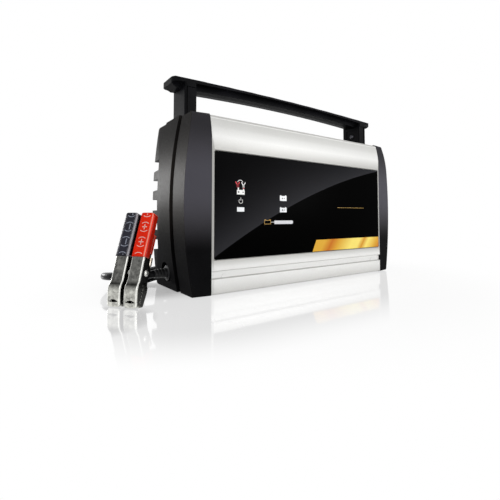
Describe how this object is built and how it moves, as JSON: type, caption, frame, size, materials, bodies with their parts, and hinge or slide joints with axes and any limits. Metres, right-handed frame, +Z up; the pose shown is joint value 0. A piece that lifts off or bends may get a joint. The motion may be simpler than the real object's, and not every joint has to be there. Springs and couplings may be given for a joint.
{
  "type": "battery charger",
  "caption": "Portable car battery charger with a carry handle, a front label with indicator windows, and a DC cable that ends in two spring clamps.",
  "frame": {"origin": "under the middle of the case, on the floor", "axes": "+X along the case to the right as seen from the front, +Y from its front to its back, +Z up"},
  "size_m": [0.4079, 0.2243, 0.2364],
  "materials": {
    "silver_plastic": "satin silver paint on moulded plastic",
    "black_plastic": "fine-grained moulded plastic",
    "label_film": "printed glossy film",
    "window_plastic": "clear",
    "black_rubber": "matt",
    "black_cable": "satin",
    "red_cable": "satin",
    "pressed_steel": "galvanised",
    "spring_steel": "bright",
    "plated_steel": "zinc plated",
    "black_vinyl": "satin dipped",
    "red_vinyl": "satin dipped",
    "tinned_copper": "tinned",
    "circuit_board": "solder resist",
    "lamination_steel": "varnished",
    "enamelled_copper": "tape over enamelled wire",
    "capacitor_sleeve": "shrunk sleeve",
    "aluminium": "extruded",
    "black_epoxy": "moulded",
    "fuse_glass": "clear",
    "brass": "bright",
    "lamp_resin": "diffused",
    "ribbon_plastic": "matt"
  },
  "bodies": {
    "root": {"front_cover": "silver_plastic", "rear_cover": "black_plastic", "right_end_cap": "black_plastic", "left_end_cap": "black_plastic", "label_panel": "label_film", "indicator_lenses": "window_plastic", "handle": "black_plastic", "handle_screws": "plated_steel", "case_screws": "plated_steel", "feet": "black_rubber", "dc_gland_ring": "black_plastic", "dc_strain_relief": "black_rubber", "ac_bushing": "black_rubber", "base_tray": "plated_steel", "main_board": "circuit_board", "board_standoffs": "brass", "board_screws": "plated_steel", "transformer_core": "lamination_steel", "transformer_coil": "enamelled_copper", "input_choke": "enamelled_copper", "bulk_capacitors": "capacitor_sleeve", "output_capacitors": "capacitor_sleeve", "primary_heat_sink": "aluminium", "power_transistors": "black_epoxy", "secondary_heat_sink": "aluminium", "rectifier_diodes": "black_epoxy", "polarity_relay": "black_epoxy", "line_fuse": "fuse_glass", "fuse_clips": "brass", "output_terminals": "brass", "display_board": "circuit_board", "indicator_leds": "lamp_resin", "controller_chip": "black_epoxy", "ribbon_cable": "ribbon_plastic", "dc_cord": "black_cable", "dc_cord_coil": "black_cable", "dc_cord_tail": "black_cable", "coil_tie": "black_plastic", "lead_splitter": "black_rubber", "black_lead": "black_cable", "red_lead": "red_cable", "black_clamp_rear_arm": "pressed_steel", "black_clamp_rear_sleeve": "black_vinyl", "black_clamp_rivet": "plated_steel", "black_clamp_spring": "spring_steel", "black_clamp_lug": "tinned_copper", "red_clamp_rear_arm": "pressed_steel", "red_clamp_rear_sleeve": "red_vinyl", "red_clamp_rivet": "plated_steel", "red_clamp_spring": "spring_steel", "red_clamp_lug": "tinned_copper"},
    "black_clamp_front": {"black_clamp_front_arm": "pressed_steel", "black_clamp_front_sleeve": "black_vinyl"},
    "red_clamp_front": {"red_clamp_front_arm": "pressed_steel", "red_clamp_front_sleeve": "red_vinyl"}
  },
  "joints": [
    {"name": "black_clamp_hinge", "type": "hinge", "parent": "root", "child": "black_clamp_front", "pos_m": [-0.22145, -0.02836, 0.02943], "axis": [-0.617, 0.7869, 0], "range_deg": [0, 12], "stiffness_Nm_per_rad": 0.4, "springref_deg": -28.65, "deforming": ["black_clamp_spring"]},
    {"name": "red_clamp_hinge", "type": "hinge", "parent": "root", "child": "red_clamp_front", "pos_m": [-0.21072, -0.04206, 0.02943], "axis": [-0.617, 0.7869, 0], "range_deg": [0, 12], "stiffness_Nm_per_rad": 0.4, "springref_deg": -28.65, "deforming": ["red_clamp_spring"]}
  ]
}
